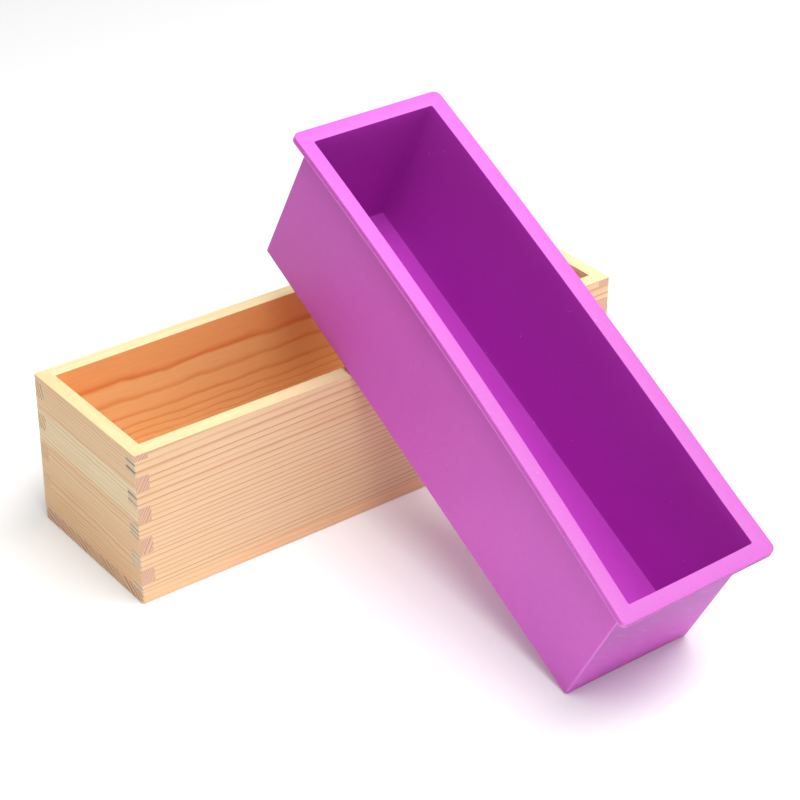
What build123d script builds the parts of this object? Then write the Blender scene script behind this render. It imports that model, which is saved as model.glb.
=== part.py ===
from build123d import *
import math
import os

# Soap loaf mould: a finger-jointed pine box and the soft silicone liner that it holds.
# The liner is out of its box and leans across it, ready to be emptied.
# Millimetres. Origin at the centre of the box's underside, +X along the box, +Y to the back, +Z up.

# Box, outside size and board thicknesses
BOX_LENGTH = 280.0
BOX_WIDTH = 89.0
BOX_HEIGHT = 81.0
SIDE_THICKNESS = 7.6
END_THICKNESS = 7.0
BOTTOM_THICKNESS = 7.0

# Finger joints, counted down from the top edge; the end boards hold the top and every second finger
TOP_FINGER = 3.3
FINGER = 8.4
SHORTEST_FINGER = 1.5

# Eased edges of the wood
CORNER_EASE = 0.6
BASE_CORNER_EASE = 1.5
BASE_EDGE_EASE = 0.8

# Liner: play in the box at the top of its walls, and how far it narrows to its foot on each side
PLAY_AT_SIDES = 0.6
PLAY_AT_ENDS = 1.3
FOOT_TAPER = 0.4
LINER_CORNER = 1.2
FOOT_EDGE = 1.0

# Liner flange: how far it laps over each board, and how far it stands above them when seated
FLANGE_LAP_SIDES = 5.5
FLANGE_LAP_ENDS = 5.1
FLANGE_THICKNESS = 3.0
FLANGE_CORNER = 3.6
FLANGE_RISE = 1.8

# Liner cavity: silicone left at the mouth, how far the cavity narrows to its floor, and the floor
MOUTH_WALL = 1.6
CAVITY_TAPER_SIDES = 1.7
CAVITY_TAPER_ENDS = 0.9
CAVITY_CORNER = 0.8
LINER_FLOOR = 2.6

# How the liner leans: its lower edge stands on the table in front of the box
LEAN_REACH = 165.3
LEAN_OFFSET = 9.7
LEAN_TURN = 1.0
LEAN_GAP = 0.3
TABLE_GAP = 0.05

# Sizes that follow
WELL_LENGTH = BOX_LENGTH - 2 * END_THICKNESS
WELL_WIDTH = BOX_WIDTH - 2 * SIDE_THICKNESS
WELL_DEPTH = BOX_HEIGHT - BOTTOM_THICKNESS
LINER_LENGTH = WELL_LENGTH - 2 * PLAY_AT_ENDS
LINER_WIDTH = WELL_WIDTH - 2 * PLAY_AT_SIDES
LINER_BODY = WELL_DEPTH + FLANGE_RISE
LINER_HEIGHT = LINER_BODY + FLANGE_THICKNESS


def finger_bands():
    """Heights (low, high) of the fingers from the top edge down to the bottom board."""
    bands = []
    top = BOX_HEIGHT
    low = top - TOP_FINGER
    while low - BOTTOM_THICKNESS > SHORTEST_FINGER:
        bands.append((low, top))
        top = low
        low = top - FINGER
    bands.append((BOTTOM_THICKNESS, top))
    return bands


END_BANDS = finger_bands()[0::2]
SIDE_BANDS = finger_bands()[1::2]


def block(x, y, z):
    """A box between two values on each axis."""
    size = (x[1] - x[0], y[1] - y[0], z[1] - z[0])
    middle = ((x[0] + x[1]) / 2, (y[0] + y[1]) / 2, (z[0] + z[1]) / 2)
    return Pos(*middle) * Box(*size)


def eased_outline(radius, low, high):
    """The box's outline between two heights, with its upright corners rounded."""
    outline = RectangleRounded(BOX_LENGTH, BOX_WIDTH, radius)
    return Pos(0, 0, low) * extrude(outline, amount=high - low)


def side_board(facing):
    """A long side. Its fingers reach through the end boards; facing is -1 at the front, 1 at the back."""
    outer = facing * BOX_WIDTH / 2
    inner = facing * (BOX_WIDTH / 2 - SIDE_THICKNESS)
    across = (min(outer, inner), max(outer, inner))
    half = BOX_LENGTH / 2
    board = block((-half, half), across, (BOTTOM_THICKNESS, BOX_HEIGHT))
    for band in END_BANDS:
        board -= block((-half, -half + END_THICKNESS), across, band)
        board -= block((half - END_THICKNESS, half), across, band)
    return board & eased_outline(CORNER_EASE, BOTTOM_THICKNESS, BOX_HEIGHT)


def end_board(facing):
    """An end. Its fingers reach through the long sides; facing is -1 at the left, 1 at the right."""
    outer = facing * BOX_LENGTH / 2
    inner = facing * (BOX_LENGTH / 2 - END_THICKNESS)
    along = (min(outer, inner), max(outer, inner))
    half = BOX_WIDTH / 2
    board = block(along, (-half, half), (BOTTOM_THICKNESS, BOX_HEIGHT))
    for band in SIDE_BANDS:
        board -= block(along, (-half, -half + SIDE_THICKNESS), band)
        board -= block(along, (half - SIDE_THICKNESS, half), band)
    return board & eased_outline(CORNER_EASE, BOTTOM_THICKNESS, BOX_HEIGHT)


def bottom_board():
    """The board glued under the frame, as large as the frame, with its lower edges eased."""
    board = eased_outline(BASE_CORNER_EASE, 0, BOTTOM_THICKNESS)
    lowest = board.faces().sort_by(Axis.Z)[0]
    return fillet(lowest.edges(), BASE_EDGE_EASE)


def sloped_slab(low_width, high_width, low, high, depth):
    """A slab that is as deep as given along Y, with its two ends along X sloping evenly."""
    corners = [(-low_width / 2, low), (low_width / 2, low), (high_width / 2, high), (-high_width / 2, high)]
    outline = Plane.XZ * Polygon(*corners, align=None)
    return extrude(outline, amount=depth / 2, both=True)


def tapered(low_size, high_size, corner, low, high):
    """A block with four sloping sides and rounded upright corners, from a lower to an upper rectangle."""
    deepest = 2 * max(low_size + high_size)
    across = sloped_slab(low_size[0], high_size[0], low, high, deepest)
    along = Rot(0, 0, 90) * sloped_slab(low_size[1], high_size[1], low, high, deepest)
    solid = across & along
    upright = solid.edges().group_by(Axis.Z)[1]
    return fillet(upright, corner)


def liner():
    """The silicone liner upright, its length along Y, its lower near edge at the origin."""
    foot = (LINER_WIDTH - 2 * FOOT_TAPER, LINER_LENGTH - 2 * FOOT_TAPER)
    body = tapered(foot, (LINER_WIDTH, LINER_LENGTH), LINER_CORNER, 0, LINER_BODY)
    body = fillet(body.faces().sort_by(Axis.Z)[0].edges(), FOOT_EDGE)
    flange_size = (WELL_WIDTH + 2 * FLANGE_LAP_SIDES, WELL_LENGTH + 2 * FLANGE_LAP_ENDS)
    flange = extrude(RectangleRounded(*flange_size, FLANGE_CORNER), amount=FLANGE_THICKNESS)
    mouth = (LINER_WIDTH - 2 * MOUTH_WALL, LINER_LENGTH - 2 * MOUTH_WALL)
    floor = (mouth[0] - 2 * CAVITY_TAPER_SIDES, mouth[1] - 2 * CAVITY_TAPER_ENDS)
    cavity = tapered(floor, mouth, CAVITY_CORNER, LINER_FLOOR, LINER_HEIGHT)
    whole = body + Pos(0, 0, LINER_BODY) * flange - cavity
    return Pos(0, foot[1] / 2, 0) * whole


def lean():
    """The lean in degrees, and the height of the liner's lower edge, that rest it on table and box."""
    turn = math.radians(LEAN_TURN)
    half_foot = LINER_WIDTH / 2 - FOOT_TAPER
    reach = (LEAN_REACH - half_foot * math.sin(turn)) / math.cos(turn)
    end_slope = math.atan(FOOT_TAPER / LINER_BODY)
    inset = FOOT_EDGE * (1 / math.cos(end_slope) - math.tan(end_slope))
    lift = 0.0
    for _ in range(20):
        rise = BOX_HEIGHT - lift
        angle = math.atan2(rise, reach) + math.asin(LEAN_GAP / math.hypot(rise, reach))
        lift = TABLE_GAP + FOOT_EDGE * (1 - math.cos(angle)) - inset * math.sin(angle)
    return math.degrees(angle), lift


def leaning_liner():
    """The liner out of its box: lower edge on the table, underside on the box's front edge."""
    angle, lift = lean()
    place = Pos(LEAN_OFFSET, -BOX_WIDTH / 2 - LEAN_REACH, lift)
    return place * Rot(0, 0, -LEAN_TURN) * Rot(angle, 0, 0) * liner()


os.makedirs("parts", exist_ok=True)
nodes = {
    "front_side": side_board(-1),
    "back_side": side_board(1),
    "left_end": end_board(-1),
    "right_end": end_board(1),
    "bottom_board": bottom_board(),
    "silicone_liner": leaning_liner(),
}
for name, shape in nodes.items():
    export_step(shape, f"parts/{name}.step")
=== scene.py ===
import math

import bmesh
import bpy
from mathutils import Matrix, Vector


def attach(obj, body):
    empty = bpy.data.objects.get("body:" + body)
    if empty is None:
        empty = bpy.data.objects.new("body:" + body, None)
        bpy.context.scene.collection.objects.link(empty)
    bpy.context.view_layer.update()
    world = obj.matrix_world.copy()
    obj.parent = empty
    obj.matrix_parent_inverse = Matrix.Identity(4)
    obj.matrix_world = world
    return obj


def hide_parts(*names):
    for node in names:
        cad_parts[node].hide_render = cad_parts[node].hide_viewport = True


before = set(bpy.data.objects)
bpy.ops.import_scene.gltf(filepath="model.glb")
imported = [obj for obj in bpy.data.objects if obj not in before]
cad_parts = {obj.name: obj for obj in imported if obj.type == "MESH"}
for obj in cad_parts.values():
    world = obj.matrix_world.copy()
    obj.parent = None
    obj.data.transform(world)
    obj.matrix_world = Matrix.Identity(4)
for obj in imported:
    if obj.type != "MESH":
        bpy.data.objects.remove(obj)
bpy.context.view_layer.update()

MM = 0.001
LINER_BODY = "liner"


# ---------------------------------------------------------------- how finishes are made

class Reading:
    """A value that changes over a surface. Sums written with it become Math nodes."""

    def __init__(self, finish, node, output):
        self.finish = finish
        self.node = node
        self.socket = node.outputs[output] if node.outputs else None

    def output(self, name):
        """Another output of the same node."""
        return Reading(self.finish, self.node, name)

    def maths(self, operation, *values):
        """One Math node over the values."""
        return self.finish.node(
            "ShaderNodeMath", {"operation": operation}, dict(enumerate(values))
        )

    def __add__(self, other):
        return self.maths("ADD", self, other)

    def __radd__(self, other):
        return self.maths("ADD", other, self)

    def __sub__(self, other):
        return self.maths("SUBTRACT", self, other)

    def __rsub__(self, other):
        return self.maths("SUBTRACT", other, self)

    def __mul__(self, other):
        return self.maths("MULTIPLY", self, other)

    def __rmul__(self, other):
        return self.maths("MULTIPLY", other, self)

    def __truediv__(self, other):
        return self.maths("DIVIDE", self, other)

    def __abs__(self):
        return self.maths("ABSOLUTE", self)

    def root(self):
        """Its square root."""
        return self.maths("SQRT", self)

    def floor(self):
        """The whole number below it."""
        return self.maths("FLOOR", self)

    def over(self, limit):
        """How far it is above a limit, and 0 below it."""
        return self.maths("MAXIMUM", self - limit, 0.0)


class Finish:
    """A material and the nodes that make it."""

    def __init__(self, name):
        self.material = bpy.data.materials.new(name)
        self.material.use_nodes = True
        self.tree = self.material.node_tree
        self.tree.nodes.clear()
        self.clouds = 0

    def node(self, kind, settings=None, values=None, output=0):
        """Adds a node: first its settings, then the values or links of its sockets."""
        node = self.tree.nodes.new(kind)
        for name, setting in (settings or {}).items():
            setattr(node, name, setting)
        for name, value in (values or {}).items():
            if isinstance(value, Reading):
                self.tree.links.new(value.socket, node.inputs[name])
            else:
                node.inputs[name].default_value = value
        return Reading(self, node, output)

    def upright(self, vector, stance):
        """A vector as it was before the piece was moved and turned by a stance."""
        return self.node(
            "ShaderNodeMapping", {"vector_type": "TEXTURE"}, {"Vector": vector, **stance}
        )

    def place(self, stance=None):
        """Where a point of the surface is: its three parts, in millimetres."""
        spot = self.node("ShaderNodeTexCoord", output="Object")
        if stance:
            spot = self.upright(spot, stance)
        parts = self.node("ShaderNodeSeparateXYZ", None, {0: spot})
        return [parts.output(axis) * (1 / MM) for axis in "XYZ"]

    def facing(self, axis, turn=None):
        """How squarely the surface faces along an axis, from -1 to 1."""
        normal = self.node("ShaderNodeTexCoord", output="Normal")
        if turn:
            normal = self.upright(normal, {"Rotation": turn})
        return self.node("ShaderNodeSeparateXYZ", None, {0: normal}, axis)

    def point(self, x, y, z):
        """A vector from three values."""
        return self.node("ShaderNodeCombineXYZ", None, {0: x, 1: y, 2: z})

    def cloud(self, x, y, z, detail=2.0, rough=0.5):
        """Smooth noise from about -0.5 to 0.5 that changes once per unit of x, y and z."""
        self.clouds += 1
        spot = self.point(x + 17.3 * self.clouds, y, z)
        noise = self.node(
            "ShaderNodeTexNoise",
            {"noise_dimensions": "3D"},
            {"Vector": spot, "Scale": 1.0, "Detail": detail, "Roughness": rough},
        )
        return noise - 0.5

    def chance(self, number):
        """A number from 0 to 1 picked for each whole number."""
        return self.node("ShaderNodeTexWhiteNoise", {"noise_dimensions": "1D"}, {"W": number})

    def step(self, value, start, end, low=0.0, high=1.0):
        """Goes smoothly from low to high as the value goes from start to end."""
        return self.node(
            "ShaderNodeMapRange",
            {"interpolation_type": "SMOOTHSTEP"},
            {"Value": value, "From Min": start, "From Max": end, "To Min": low, "To Max": high},
        )

    def mix(self, amount, first, second, way="MIX"):
        """Two colours, mixed."""
        return self.node(
            "ShaderNodeMix",
            {"data_type": "RGBA", "blend_type": way},
            {0: amount, 6: first, 7: second},
            2,
        )

    def wash(self, amount, base, tint):
        """A colour with a tint laid over it."""
        return self.mix(amount, base, self.mix(1.0, base, tint, "MULTIPLY"))

    def bump(self, height, depth):
        """A surface normal from a height; depth is in millimetres."""
        return self.node(
            "ShaderNodeBump", None, {"Height": height, "Distance": depth * MM, "Strength": 1.0}
        )

    def surface(self, values):
        """Closes the material with the Principled shader."""
        shader = self.node("ShaderNodeBsdfPrincipled", None, values)
        self.node("ShaderNodeOutputMaterial", None, {"Surface": shader})
        return self.material


def colour(red, green, blue):
    """A colour from screen values of 0 to 255."""
    def linear(value):
        value = value / 255
        return value / 12.92 if value <= 0.04045 else ((value + 0.055) / 1.055) ** 2.4
    return (linear(red), linear(green), linear(blue), 1.0)


# ---------------------------------------------------------------- pine

BLUSH_TINT = (1.0, 0.93, 0.88, 1.0)
PATCH_TINT = (1.0, 0.94, 0.86, 1.0)
FIBRE_TINT = (0.92, 0.87, 0.82, 1.0)


def pine(name, grain, tones, rim_tone, pith, ring, slowing=(900.0, 0.0), lean=0.0, sway=2.0,
         flutter=0.16, uneven=1.6, first=0.0, late=(0.62, 0.955), end_rings=1.0, end_width=0.0,
         band=None, low_tint=None, outer=None):
    """Bare planed pine cut from a trunk, so that its rings run on from the faces to the end grain.

    grain: the axis along the board
    tones: the colours of early wood, late wood, end grain and the lines on end grain
    rim_tone: the early wood's colour on the top edge, a pale yellow of its own: painted light from
    above
    pith: where the trunk's middle is in the board's section
    ring: the width of a year
    slowing: the radius beyond which the years change in width, and by how much
    lean: how far the trunk runs off the board's length
    sway, flutter: how far the rings wander, and the share of it that is in short waves
    uneven: how much the years differ in width
    first: how far into a year the trunk's middle is
    late: when in a year the late wood starts and ends, from 0 to 1
    end_rings, end_width: how many times the lines on end grain, and how much wider they are
    band: the heights between which the wood is tinted, the tint, and the tint of the two edges
    low_tint: the tint of the lower part
    outer: the early wood's colour on the face towards the back, which keeps it clear of the painted
    bounce light in the other faces' early wood
    """
    wood = Finish(name)
    x, y, up = wood.place()
    along, side = (x, y) if grain == "X" else (y, x)
    endgrain = wood.step(abs(wood.facing(grain)), 0.6, 0.8)
    rim = wood.step(wood.facing("Z"), 0.6, 0.8)

    # the rings: how many years out from the trunk's middle a point is
    drift = wood.cloud(along / 85.0, side / 40.0, up / 40.0, 1.0) * sway
    quiver = wood.cloud(along / 22.0, side / 14.0, up / 14.0, 2.0) * (sway * flutter)
    off_side = side - pith[0]
    off_up = up - pith[1] - along * lean
    radius = (off_side * off_side + off_up * off_up).root() + drift + quiver
    beyond = radius.over(slowing[0])
    stray = wood.cloud(radius / 7.0, 0.0, 0.0, 1.0) * uneven
    years = radius / ring - beyond * beyond * slowing[1] + stray + first
    if end_rings != 1.0:
        years = years * (1.0 + endgrain * (end_rings - 1.0))

    # the season within a year, and the line of late wood that ends it
    number = years.floor()
    season = years - number
    vigour = wood.chance(number)
    start = late[0] + vigour * 0.16 - endgrain * end_width
    ridge = wood.step(season, start, 0.9) * (1.0 - wood.step(season, late[1], 1.0))
    soft = wood.step(season, 0.25, 0.9)
    worn = wood.step(wood.cloud(along / 40.0, side / 5.0, up / 5.0, 2.0), -0.3, 0.15, 0.7, 1.0)
    line = ridge * worn * (0.3 + vigour * 0.7) * (1.0 - rim * 0.8)

    # fibres, pores and uneven colour
    fibre = wood.cloud(along / 11.0, side / 0.55, up / 0.55, 4.0, 0.65)
    pores = wood.cloud(along / 30.0, side / 1.6, up / 1.6, 2.0)
    patch = wood.cloud(along / 45.0, side / 11.0, up / 11.0, 2.0)
    blush = wood.step(wood.cloud(along / 60.0, side / 30.0, up / 22.0, 2.0), -0.1, 0.35)

    # planed faces
    early_tone, late_tone, end_pale, end_dark = tones
    # where given, the face towards the back takes a plainer early wood, so that painted bounce light
    # in the main early wood stays on the inner face
    if outer:
        early_tone = wood.mix(wood.step(wood.facing("Y"), 0.4, 0.9), early_tone, outer)
    # the top edge takes its own pale yellow early wood: painted light from above
    early_tone = wood.mix(rim, wood.wash(blush * 0.8, early_tone, BLUSH_TINT), rim_tone)
    faces = wood.mix(soft * (1.0 - rim) * 0.1 + line * 0.9, early_tone, late_tone)
    faces = wood.wash(0.5 + patch * 0.8, faces, PATCH_TINT)
    if band:
        low, high, tint, edge_tint = band
        level = up + wood.cloud(along / 60.0, 0.0, up / 60.0, 1.0) * 2.0
        above = wood.step(level, low - 1.2, low + 1.2)
        below = wood.step(level, high + 0.4, high - 0.4)
        low_edge = wood.step(abs(level - low), 3.0, 0.3)
        high_edge = wood.step(abs(level - high - 1.0), 1.6, 0.2)
        faces = wood.wash(above * below * (1.0 - rim), faces, tint)
        faces = wood.wash((low_edge + high_edge) * 0.75, faces, edge_tint)
    if low_tint:
        faces = wood.wash(wood.step(up + patch * 14.0, 48.0, 14.0), faces, low_tint)

    # end grain
    strong = wood.step(wood.cloud(side / 16.0, up / 30.0, 0.0, 1.0), -0.14, 0.1, 0.35, 1.0)
    ends = wood.mix(soft * 0.12 + ridge * strong * (0.62 + vigour * 0.3), end_pale, end_dark)

    streaks = 0.5 + fibre * 1.9 + pores * (0.8 + rim * 0.7)
    return wood.surface({
        "Base Color": wood.wash(streaks, wood.mix(endgrain, faces, ends), FIBRE_TINT),
        "Roughness": 0.58 + fibre * 0.16 - line * 0.08,
        "Normal": wood.bump(fibre * 0.5 - line * 0.6, 0.05),
        "Specular IOR Level": 0.3,
    })


FRONT_PINE = pine(
    "pine_front", "X",
    tones=(colour(235, 209, 171), colour(198, 128, 80), colour(234, 212, 184), colour(122, 76, 46)),
    rim_tone=colour(239, 222, 176),
    pith=(-29.0, -80.0), ring=2.5, slowing=(125.0, 0.0024), lean=0.018, sway=1.0, uneven=1.4,
)
# The back board's inner face is a deep orange: painted warm bounce light from inside the box; its
# face towards the back keeps a plainer early wood.
BACK_PINE = pine(
    "pine_back", "X",
    tones=(colour(255, 198, 138), colour(236, 150, 88), colour(252, 216, 172), colour(116, 80, 60)),
    # the greener top edge also cancels the pink bounce light from the liner
    rim_tone=colour(240, 225, 181), outer=colour(250, 212, 162),
    pith=(-2.0, 88.0), ring=7.4, slowing=(57.0, -0.0084), lean=-0.02, sway=5.5, flutter=0.5,
    uneven=0.3, first=0.78, late=(0.5, 0.88), end_rings=3.0, end_width=0.12,
    band=(64.0, 95.0, (0.985, 0.85, 0.76, 1.0), (1.0, 1.0, 1.0, 1.0)),
)
LEFT_PINE = pine(
    "pine_left", "Y",
    tones=(colour(249, 219, 180), colour(214, 162, 118), colour(222, 184, 156), colour(158, 112, 92)),
    rim_tone=colour(240, 217, 170), low_tint=(0.96, 0.9, 0.84, 1.0),
    pith=(217.0, -148.0), ring=1.0, lean=0.03, sway=2.2, flutter=0.6, uneven=5.5, end_rings=0.8,
    band=(44.6, 63.4, (1.02, 1.16, 1.23, 1.0), (0.97, 0.84, 0.78, 1.0)),
)
RIGHT_PINE = pine(
    "pine_right", "Y",
    tones=(colour(248, 216, 176), colour(210, 156, 112), colour(224, 184, 154), colour(150, 110, 86)),
    rim_tone=colour(240, 221, 176),
    pith=(-60.0, 190.0), ring=2.1, lean=0.02,
)
BOTTOM_PINE = pine(
    "pine_bottom", "X",
    tones=(colour(241, 206, 164), colour(220, 166, 122), colour(238, 196, 160), colour(118, 66, 42)),
    rim_tone=colour(240, 221, 176),
    pith=(120.0, -225.0), ring=2.5, sway=3.0, end_width=0.12,
)


# ---------------------------------------------------------------- the wooden box

BOARDS = {
    "front_side": FRONT_PINE,
    "back_side": BACK_PINE,
    "left_end": LEFT_PINE,
    "right_end": RIGHT_PINE,
    "bottom_board": BOTTOM_PINE,
}
ARRIS = 0.12


def dress(node, material):
    """Gives a CAD board its finish and takes the hard arris off its edges."""
    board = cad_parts[node]
    board.data.materials.clear()
    board.data.materials.append(material)
    weld = board.modifiers.new("weld", "WELD")
    weld.merge_threshold = 0.01 * MM
    arris = board.modifiers.new("arris", "BEVEL")
    arris.width = ARRIS * MM
    arris.segments = 2
    arris.limit_method = "ANGLE"
    arris.angle_limit = math.radians(30)
    arris.harden_normals = True


for node, material in BOARDS.items():
    dress(node, material)


# ---------------------------------------------------------------- sizes of the silicone liner

# half sizes across and along, and heights, in millimetres, as it stands upright
FOOT = (35.9, 131.3)
SHOULDER = (36.3, 131.7)
FLANGE = (42.4, 138.1)
MOUTH = (34.7, 130.1)
FLOOR = (33.0, 129.2)
FLOOR_LEVEL = 2.6
BODY_TOP = 75.8
TOP = 78.8

# corners seen from above
WALL_CORNER = 1.2
FLANGE_CORNER = 3.6
CAVITY_CORNER = 0.8
FLAT_CORNER = 0.4
LEAST_CORNER = 0.12

# small rounded edges, from the foot round to the cavity's floor
FOOT_EDGE = 1.0
FLANGE_ROOT = 0.8
LIP = 0.4
BEAD = 0.2
TOP_EDGE = 0.3
MOUTH_EDGE = 0.25
HEEL = 0.3

# how it leans from the table across the box's front edge
BOX_WIDTH = 89.0
LEAN_ANGLE = 26.3624
LEAN_TURN = 1.0
LEAN_REACH = 165.3
LEAN_OFFSET = 9.7
LEAN_LIFT = -0.17
FOOT_SPOT = (LEAN_OFFSET * MM, (-BOX_WIDTH / 2 - LEAN_REACH) * MM, LEAN_LIFT * MM)
FOOT_TURN = (math.radians(LEAN_ANGLE), 0.0, math.radians(-LEAN_TURN))


# ---------------------------------------------------------------- silicone

# painted highlight on the rounded upright corners and the flange's lower lip
EDGE_HIGHLIGHT = colour(236, 168, 234)
# painted sheen: pale streaks standing in for a glossy reflection on the end walls
SHEEN_TONE = colour(226, 156, 226)
DUST_TONE = colour(244, 206, 240)
# painted shade on the flange's top, also carrying its brushed streaks
CROWN_TINT = (0.76, 0.84, 0.76, 1.0)
# painted shade on the end walls: a slight lightening at the foot, a deep greyer darkening towards the
# top
END_SHADE_LOW = (1.05, 1.05, 1.05, 1.0)
END_SHADE_HIGH = (0.62, 0.74, 0.65, 1.0)


def painted_light_and_brushing(skin, tint, x, y, z):
    """The outside's brushed flange, and light and shade painted on it: painted shade on the flange's
    top, deepest at the near end, painted highlights on pale edges, and painted shade and painted
    sheen streaks on the end walls.
    """
    lift, across, along = (skin.facing(axis, FOOT_TURN) for axis in "ZXY")
    crown = skin.step(z, TOP - 1.0, TOP - 0.3) * skin.step(lift, 0.6, 0.9)
    brushed = skin.cloud((x + y * 0.3) / 1.2, (y - x * 0.3) / 9.0, 0.0, 3.0)
    # painted shade on the flange's top, deepest at the near end, with real brushed streaks in it
    shaded_and_brushed = crown * (skin.step(y, 230.0, 90.0, 0.3, 1.0) + brushed * 0.6)
    tint = skin.wash(shaded_and_brushed, tint, CROWN_TINT)
    # painted highlights: a pale line down the rounded upright corners and along the flange's lower
    # lip
    corner = skin.step(abs(across), 0.2, 0.6) * skin.step(abs(along), 0.2, 0.6) * (1.0 - crown)
    lip = skin.step(abs(z - BODY_TOP - 0.45), 0.4, 0.2) * skin.step(abs(lift), 0.9, 0.6)
    tint = skin.mix(corner * 0.3 + lip * 0.35, tint, EDGE_HIGHLIGHT)
    # painted sheen: pale diagonal streaks on the end walls, standing in for a glossy reflection
    sheen_streak = skin.cloud((x * 0.8 + z) / 5.0, (x - z * 0.8) / 30.0, y / 30.0, 3.0)
    # painted shade on both end walls, deeper and greyer towards the top
    end_wall = skin.step(abs(along), 0.8, 0.97)
    end_wall_shade = skin.mix(skin.step(z, 0.0, 60.0), END_SHADE_LOW, END_SHADE_HIGH)
    tint = skin.wash(end_wall, tint, end_wall_shade)
    return skin.mix(end_wall * skin.step(sheen_streak, 0.02, 0.3) * 0.25, tint, SHEEN_TONE)


def silicone(name, pale, deep, shine, outside):
    """Soft violet silicone with a faint haze, fine grit and a few specks of dust.

    pale, deep: the two colours that the haze goes between
    shine: the shader's specular level
    outside: whether it has the brushed flange and the painted highlights, sheen and shade of the
    outside, which the smoother cavity hasn't
    """
    skin = Finish(name)
    x, y, z = skin.place({"Location": FOOT_SPOT, "Rotation": FOOT_TURN})
    haze = skin.cloud(x / 38.0, y / 38.0, z / 38.0, 3.0)
    mottle = skin.cloud(x / 5.0, y / 5.0, z / 5.0, 3.0, 0.6)
    grit = skin.cloud(x / 0.5, y / 0.5, z / 0.5, 2.0)
    tint = skin.mix(0.5 + haze * 0.8 + mottle * 0.4 + grit * 1.4, deep, pale)
    if outside:
        tint = painted_light_and_brushing(skin, tint, x, y, z)
    spacing = skin.point(x / 9.0, y / 9.0, z / 9.0)
    dust = skin.node("ShaderNodeTexVoronoi", None, {"Vector": spacing, "Scale": 1.0})
    speck = skin.step(dust + skin.cloud(x, y, z, 1.0) * 0.03, 0.034, 0.018)
    return skin.surface({
        "Base Color": skin.mix(speck * 0.6, tint, DUST_TONE),
        "Roughness": 0.5 + haze * 0.12 + mottle * 0.1,
        "Normal": skin.bump(grit + mottle, 0.04),
        "Specular IOR Level": shine,
        "Subsurface Weight": 0.25,
        "Subsurface Radius": (1.0, 0.25, 0.9),
        "Subsurface Scale": 3.0 * MM,
    })


OUTSIDE = silicone("violet_outside", colour(219, 104, 209), colour(208, 88, 202), 0.4, True)
# the cavity's silicone is darker than the outside's: painted shade inside the hollow
SHADED_CAVITY = silicone("violet_cavity_shaded", colour(190, 64, 188), colour(180, 52, 180), 0.2, False)


# ---------------------------------------------------------------- the liner's shell

# straight lengths of an outline, and steps round each of its corners
LONG_STEPS = 26
SHORT_STEPS = 8
CORNER_STEPS = 9

# sideways, each long rim: its shift, its swing from end to end, and its bow at mid-length
LEFT_RIM = (0.56, 3.8, 3.48)
RIGHT_RIM = (0.63, 2.09, 2.12)
RIGHT_FLARE = 0.8
RIGHT_SPREAD = 0.125

# endways: how far the rims are shifted and out of square, and how far the ends are drawn in
RIM_SHIFT = 0.475
OUT_OF_SQUARE = 0.0102
FAR_PULL = 0.8
NEAR_PULL = 1.26


def outline(size, corner, height):
    """Points round a rounded rectangle of half sizes across and along, always the same number."""
    across, along = size
    corner = max(corner, LEAST_CORNER)
    arcs = []
    for sign_x, sign_y, start in ((1, -1, -90), (1, 1, 0), (-1, 1, 90), (-1, -1, 180)):
        centre = Vector((sign_x * (across - corner), sign_y * (along - corner)))
        arc = []
        for step in range(CORNER_STEPS + 1):
            turn = math.radians(start + 90 * step / CORNER_STEPS)
            arc.append(centre + corner * Vector((math.cos(turn), math.sin(turn))))
        arcs.append(arc)
    points = []
    for index, arc in enumerate(arcs):
        goal = arcs[(index + 1) % len(arcs)][0]
        steps = SHORT_STEPS if index % 2 else LONG_STEPS
        points += arc + [arc[-1].lerp(goal, step / steps) for step in range(1, steps)]
    return [Vector((point.x, point.y, height)) for point in points]


def between(low, high, share):
    """A pair of half sizes part of the way from one to another."""
    return tuple(a + (b - a) * share for a, b in zip(low, high))


def grown(size, by):
    """Half sizes made larger all round."""
    return tuple(value + by for value in size)


def sweep(steps, whole=90, first=0):
    """Angles in even steps up to a whole one, which is given in degrees."""
    return [math.radians(whole * step / steps) for step in range(first, steps + 1)]


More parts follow.
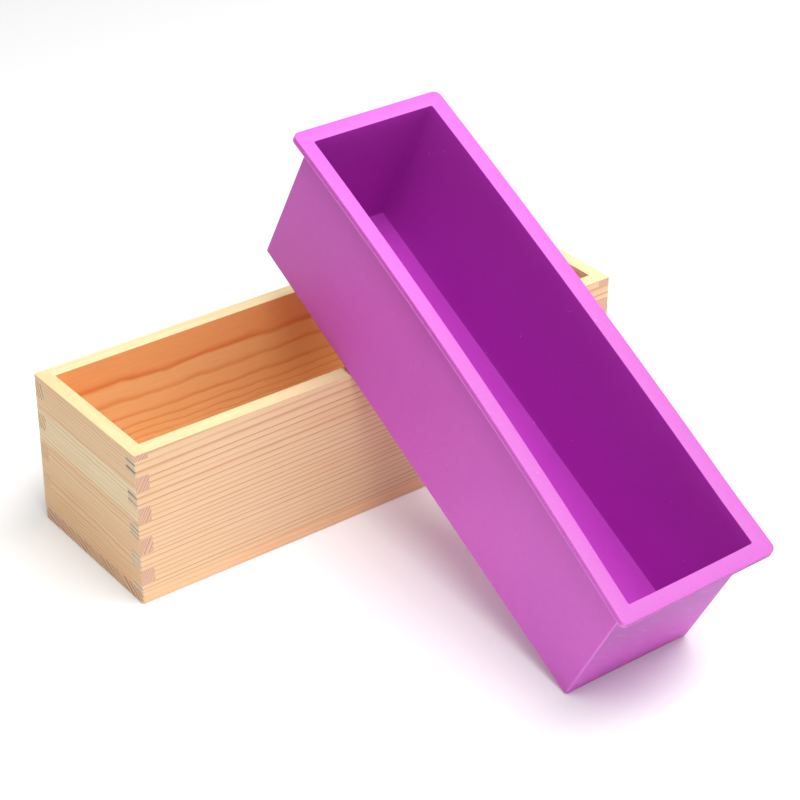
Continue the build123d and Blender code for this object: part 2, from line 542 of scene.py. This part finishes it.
def liner_rings():
    """The liner's outlines, from the middle of its underside over the flange to the cavity floor.

    Also says which of them is the first of the mouth, and the first of the cavity."""
    rings = []

    def ring(size, corner, height):
        rings.append(outline(size, corner, height))

    # underside, foot edge and outer wall
    for inset in (34.0, 28.0, 20.0, 12.0, 5.0):
        ring(grown(FOOT, -inset), FLAT_CORNER, 0.0)
    for turn in sweep(5):
        inset = FOOT_EDGE * (1 - math.sin(turn))
        ring(grown(FOOT, -inset), WALL_CORNER - inset * 0.8, FOOT_EDGE * (1 - math.cos(turn)))
    wall_height = BODY_TOP - 1.2 - FOOT_EDGE
    for step in range(1, 14):
        height = FOOT_EDGE + wall_height * step / 13
        ring(between(FOOT, SHOULDER, height / BODY_TOP), WALL_CORNER, height)

    # flange: its root, its underside, the lip round its lower edge, and its rounded top edge
    for turn in sweep(5, first=1):
        out = FLANGE_ROOT * (1 - math.cos(turn))
        height = BODY_TOP - FLANGE_ROOT + FLANGE_ROOT * math.sin(turn)
        ring(grown(SHOULDER, out), WALL_CORNER + out, height)
    rim = grown(FLANGE, -BEAD)
    ring(between(SHOULDER, rim, 0.55), FLANGE_CORNER * 0.6, BODY_TOP)
    for turn in sweep(6, whole=180):
        out = -LIP + BEAD + LIP * math.sin(turn)
        ring(grown(rim, out), FLANGE_CORNER + out, BODY_TOP + LIP - LIP * math.cos(turn))
    ring(rim, FLANGE_CORNER - BEAD, BODY_TOP + 2 * LIP + 0.12)
    for turn in sweep(5):
        inset = TOP_EDGE * (1 - math.cos(turn))
        height = TOP - TOP_EDGE + TOP_EDGE * math.sin(turn)
        ring(grown(rim, -inset), FLANGE_CORNER - BEAD - inset, height)

    # mouth
    mouth_start = len(rings)
    ring(grown(MOUTH, 4.0), FLANGE_CORNER * 0.5, TOP)
    for turn in sweep(4):
        out = MOUTH_EDGE * (1 - math.sin(turn))
        ring(grown(MOUTH, out), CAVITY_CORNER + out, TOP - MOUTH_EDGE * (1 - math.cos(turn)))

    # cavity wall, its heel, and the floor
    cavity_start = len(rings)
    wall_top = TOP - MOUTH_EDGE
    for step in range(1, 13):
        height = wall_top - (wall_top - FLOOR_LEVEL - HEEL) * step / 12
        share = (height - FLOOR_LEVEL) / (TOP - FLOOR_LEVEL)
        ring(between(FLOOR, MOUTH, share), CAVITY_CORNER, height)
    for turn in sweep(5, first=1):
        inset = HEEL * (1 - math.cos(turn))
        height = FLOOR_LEVEL + HEEL - HEEL * math.sin(turn)
        ring(grown(FLOOR, -inset), CAVITY_CORNER - inset * 0.6, height)
    for inset in (5.0, 12.0, 19.0, 26.0, 31.5):
        ring(grown(FLOOR, -inset), FLAT_CORNER, FLOOR_LEVEL)
    return rings, mouth_start, cavity_start


def ramp(value, start, end):
    """0 up to the start, 1 from the end on, and even between them."""
    return min(1.0, max(0.0, (value - start) / (end - start)))


def settle(point, inner):
    """Where the soft wall really stands: the long rims bow to one side and the ends lean in."""
    across, along, height = point
    end = along / FLANGE[1]
    side = (across + FLANGE[0]) / (2 * FLANGE[0])

    # at the rim
    left, right = (
        shift + swing * end + bow * (1 - end * end) for shift, swing, bow in (LEFT_RIM, RIGHT_RIM)
    )
    right += RIGHT_FLARE * ramp(-end, 0.78, 0.95)
    rim_across = left + (right - left) * side
    if across > 30:
        rim_across += (across - 38.4) * RIGHT_SPREAD
    if end > 0:
        pull = FAR_PULL
    else:
        tip = ramp(-end, 0.942, 1.0)
        pull = NEAR_PULL + 1.55 * (1 - 1.05 * side * side) * (1 - tip) + (0.7 - 1.1 * side) * tip
    rim_along = RIM_SHIFT + OUT_OF_SQUARE * across - pull * min(1.0, abs(end)) ** 6

    # at the foot, in the cavity and outside
    if inner:
        foot_across = 0.22 - 0.17 * end
        foot_along = 0.58
    else:
        foot_across = 0.05 + 1.43 * end
        foot_along = 0.24 + OUT_OF_SQUARE * across + 0.1 * end

    rise = min(1.0, height / TOP)
    return Vector((
        across + foot_across + (rim_across - foot_across) * rise,
        along + foot_along + (rim_along - foot_along) * rise,
        height,
    ))


def build_liner():
    """The liner as one closed shell, leaning from the table across the box's front edge."""
    place = (
        Matrix.Translation(Vector(FOOT_SPOT))
        @ Matrix.Rotation(FOOT_TURN[2], 4, "Z")
        @ Matrix.Rotation(FOOT_TURN[0], 4, "X")
        @ Matrix.Translation(Vector((0, FOOT[1], 0)) * MM)
    )
    shell = bmesh.new()
    rings, mouth_start, cavity_start = liner_rings()
    loops = [
        [shell.verts.new(place @ (settle(point, index >= mouth_start) * MM)) for point in ring]
        for index, ring in enumerate(rings)
    ]
    for index, (lower, upper) in enumerate(zip(loops, loops[1:]), start=1):
        for here in range(len(lower)):
            there = (here + 1) % len(lower)
            face = shell.faces.new((lower[here], lower[there], upper[there], upper[here]))
            face.material_index = int(index >= cavity_start)
    shell.faces.new(list(reversed(loops[0])))
    shell.faces.new(loops[-1]).material_index = 1
    bmesh.ops.recalc_face_normals(shell, faces=shell.faces)
    mesh = bpy.data.meshes.new("silicone_liner_soft")
    shell.to_mesh(mesh)
    shell.free()
    mesh.shade_smooth()
    mesh.materials.append(OUTSIDE)
    mesh.materials.append(SHADED_CAVITY)
    shell_object = bpy.data.objects.new("silicone_liner_soft", mesh)
    bpy.context.scene.collection.objects.link(shell_object)
    return shell_object


liner = build_liner()
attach(liner, LINER_BODY)
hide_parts("silicone_liner")


# ---------------------------------------------------------------- table, light and camera

TABLE_HALF = 4.0

LAMP_PLACE = (0.15, -0.52, 1.45)
LAMP_TARGET = (0.0, -0.1, 0.05)
LAMP_SIZE = (1.9, 0.9)
LAMP_POWER = 39.5
ROOM_LIGHT = 0.24

CAMERA_PLACE = (-0.55188, -0.77079, 0.61714)
CAMERA_RIGHT = (0.795384, -0.606050, 0.008189)
CAMERA_UP = (0.310654, 0.419232, 0.853076)
CAMERA_BACK = (-0.520440, -0.675979, 0.521723)


def lay_table():
    """A plain white table that the object stands on."""
    white = Finish("white_table").surface({
        "Base Color": (0.82, 0.82, 0.82, 1.0),
        "Roughness": 0.8,
        "Specular IOR Level": 0.1,
        "Emission Color": (1.0, 1.0, 1.0, 1.0),
        "Emission Strength": 0.14,
    })
    sheet = bmesh.new()
    bmesh.ops.create_grid(sheet, x_segments=1, y_segments=1, size=TABLE_HALF)
    mesh = bpy.data.meshes.new("table")
    sheet.to_mesh(mesh)
    sheet.free()
    mesh.materials.append(white)
    table = bpy.data.objects.new("table", mesh)
    bpy.context.scene.collection.objects.link(table)


def light_studio():
    """One wide soft light overhead, and an even light from the room."""
    lamp = bpy.data.lights.new("overhead", "AREA")
    lamp.shape = "RECTANGLE"
    lamp.size, lamp.size_y = LAMP_SIZE
    lamp.energy = LAMP_POWER
    light = bpy.data.objects.new("overhead", lamp)
    light.location = LAMP_PLACE
    direction = Vector(LAMP_TARGET) - Vector(LAMP_PLACE)
    light.rotation_euler = direction.to_track_quat("-Z", "Y").to_euler()
    bpy.context.scene.collection.objects.link(light)
    world = bpy.data.worlds.new("studio")
    bpy.context.scene.world = world
    world.use_nodes = True
    room = world.node_tree.nodes["Background"]
    room.inputs["Color"].default_value = (1.0, 1.0, 1.0, 1.0)
    room.inputs["Strength"].default_value = ROOM_LIGHT


def set_camera():
    """The camera, from its place and its three axes."""
    lens = bpy.data.cameras.new("camera")
    lens.sensor_width = 36.0
    lens.lens = 100.8
    lens.clip_start = 0.01
    lens.clip_end = 20.0
    camera = bpy.data.objects.new("camera", lens)
    axes = Matrix((CAMERA_RIGHT, CAMERA_UP, CAMERA_BACK)).transposed().to_4x4()
    camera.matrix_world = Matrix.Translation(Vector(CAMERA_PLACE)) @ axes
    bpy.context.scene.collection.objects.link(camera)
    bpy.context.scene.camera = camera
    bpy.context.scene.view_settings.view_transform = "Standard"
    bpy.context.scene.view_settings.look = "None"


lay_table()
light_studio()
set_camera()
